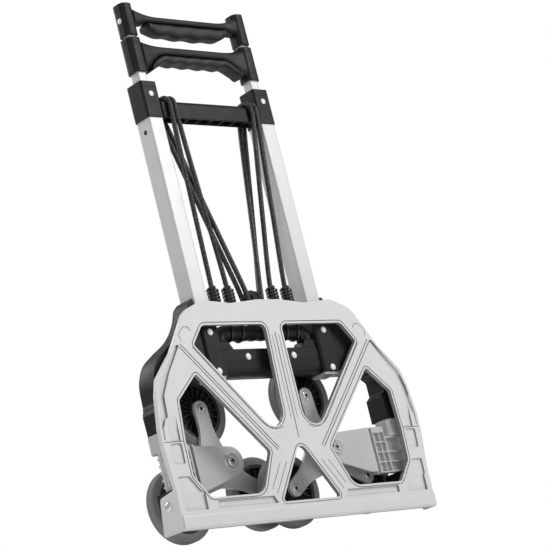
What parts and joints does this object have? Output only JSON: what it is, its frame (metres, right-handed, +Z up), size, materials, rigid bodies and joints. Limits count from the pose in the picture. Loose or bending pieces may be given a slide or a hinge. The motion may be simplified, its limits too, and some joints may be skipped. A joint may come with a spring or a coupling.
{
  "type": "hand truck",
  "caption": "Folding stair-climbing hand truck, folded flat: ribbed toe plate, telescoping twin-tube handles, bungee cords and swing-out wheel clusters.",
  "frame": {"origin": "middle of the toe plate's bottom edge, which rests on the floor", "axes": "+X to the truck's right as seen from its front, +Y to its rear, +Z up"},
  "size_m": [0.49, 0.1128, 0.7582],
  "materials": {
    "black_plastic": "satin, fine grain",
    "silver_plastic": "silver paint, satin",
    "grey_plastic": "grey paint, satin",
    "aluminium": "satin anodised",
    "steel": "bright plated",
    "tyre": "dull, moulded",
    "hub_plastic": "satin",
    "grip_rubber": "soft satin",
    "cord": "braided"
  },
  "bodies": {
    "frame": {"base_crossbeam": "black_plastic", "yoke": "black_plastic", "carry_handle": "black_plastic", "left_side_arm": "black_plastic", "left_outer_tube": "aluminium", "left_yoke_rivet": "steel", "left_hinge_block": "grey_plastic", "left_foot": "black_plastic", "left_hinge_pin": "steel", "right_side_arm": "black_plastic", "right_outer_tube": "aluminium", "right_yoke_rivet": "steel", "right_hinge_block": "grey_plastic", "right_foot": "black_plastic", "right_hinge_pin": "steel", "outer_bungee_cord": "cord", "inner_bungee_cord": "cord", "left_outer_hook": "black_plastic", "left_inner_hook": "black_plastic", "right_inner_hook": "black_plastic", "right_outer_hook": "black_plastic", "cord_anchor": "black_plastic"},
    "toe": {"toe_plate": "silver_plastic", "left_toe_pivot": "steel", "right_toe_pivot": "steel"},
    "lower_stage": {"left_middle_tube": "aluminium", "right_middle_tube": "aluminium", "lower_handle": "black_plastic", "lower_grip": "grip_rubber"},
    "left_button": {"left_snap_button": "steel"},
    "right_button": {"right_snap_button": "steel"},
    "upper_stage": {"left_inner_tube": "aluminium", "right_inner_tube": "aluminium", "upper_handle": "black_plastic", "upper_grip": "grip_rubber"},
    "left_bracket": {"left_wheel_bracket": "grey_plastic", "left_cluster_bolt": "steel"},
    "left_cluster": {"left_tri_star": "grey_plastic", "left_upper_wheel_bolt": "steel", "left_inner_wheel_bolt": "steel", "left_outer_wheel_bolt": "steel"},
    "left_upper_wheel": {"left_upper_tyre": "tyre", "left_upper_hub": "hub_plastic"},
    "left_inner_wheel": {"left_inner_tyre": "tyre", "left_inner_hub": "hub_plastic"},
    "left_outer_wheel": {"left_outer_tyre": "tyre", "left_outer_hub": "hub_plastic"},
    "right_bracket": {"right_wheel_bracket": "grey_plastic", "right_cluster_bolt": "steel"},
    "right_cluster": {"right_tri_star": "grey_plastic", "right_upper_wheel_bolt": "steel", "right_inner_wheel_bolt": "steel", "right_outer_wheel_bolt": "steel"},
    "right_upper_wheel": {"right_upper_tyre": "tyre", "right_upper_hub": "hub_plastic"},
    "right_inner_wheel": {"right_inner_tyre": "tyre", "right_inner_hub": "hub_plastic"},
    "right_outer_wheel": {"right_outer_tyre": "tyre", "right_outer_hub": "hub_plastic"}
  },
  "joints": [
    {"name": "toe_fold", "type": "hinge", "parent": "frame", "child": "toe", "pos_m": [0, 0.0155, 0.037], "axis": [1, 0, 0], "range_deg": [0, 90]},
    {"name": "left_wheel_fold", "type": "hinge", "parent": "frame", "child": "left_bracket", "pos_m": [-0.204, 0.0295, 0.0836], "axis": [0, 0, 1], "range_deg": [0, 90]},
    {"name": "left_cluster_spin", "type": "hinge", "parent": "left_bracket", "child": "left_cluster", "pos_m": [-0.083, 0.0745, 0.099], "axis": [0, 1, 0], "continuous": true},
    {"name": "left_upper_wheel_spin", "type": "hinge", "parent": "left_cluster", "child": "left_upper_wheel", "pos_m": [-0.0874, 0.09, 0.18288], "axis": [0, 1, 0], "continuous": true},
    {"name": "left_inner_wheel_spin", "type": "hinge", "parent": "left_cluster", "child": "left_inner_wheel", "pos_m": [-0.00816, 0.09, 0.06086], "axis": [0, 1, 0], "continuous": true},
    {"name": "left_outer_wheel_spin", "type": "hinge", "parent": "left_cluster", "child": "left_outer_wheel", "pos_m": [-0.15345, 0.09, 0.05325], "axis": [0, 1, 0], "continuous": true},
    {"name": "right_wheel_fold", "type": "hinge", "parent": "frame", "child": "right_bracket", "pos_m": [0.222, 0.0115, 0.0836], "axis": [0, 0, -1], "range_deg": [0, 90]},
    {"name": "right_cluster_spin", "type": "hinge", "parent": "right_bracket", "child": "right_cluster", "pos_m": [0.083, 0.0345, 0.099], "axis": [0, 1, 0], "continuous": true},
    {"name": "right_upper_wheel_spin", "type": "hinge", "parent": "right_cluster", "child": "right_upper_wheel", "pos_m": [0.07699, 0.05, 0.18279], "axis": [0, 1, 0], "continuous": true},
    {"name": "right_inner_wheel_spin", "type": "hinge", "parent": "right_cluster", "child": "right_inner_wheel", "pos_m": [0.01344, 0.05, 0.05191], "axis": [0, 1, 0], "continuous": true},
    {"name": "right_outer_wheel_spin", "type": "hinge", "parent": "right_cluster", "child": "right_outer_wheel", "pos_m": [0.15856, 0.05, 0.06231], "axis": [0, 1, 0], "continuous": true},
    {"name": "lower_handle_slide", "type": "slide", "parent": "frame", "child": "lower_stage", "axis": [0, 0, 1], "range_m": [0, 0.175]},
    {"name": "upper_handle_slide", "type": "slide", "parent": "lower_stage", "child": "upper_stage", "axis": [0, 0, 1], "range_m": [0, 0.175]},
    {"name": "left_button_press", "type": "slide", "parent": "lower_stage", "child": "left_button", "axis": [1, 0, 0], "range_m": [0, 0.003], "stiffness_N_per_m": 400},
    {"name": "right_button_press", "type": "slide", "parent": "lower_stage", "child": "right_button", "axis": [-1, 0, 0], "range_m": [0, 0.003], "stiffness_N_per_m": 400}
  ],
  "couplings": [
    {"joint": "left_wheel_fold", "follows": "toe_fold", "ratio": 1},
    {"joint": "right_wheel_fold", "follows": "toe_fold", "ratio": 1}
  ]
}
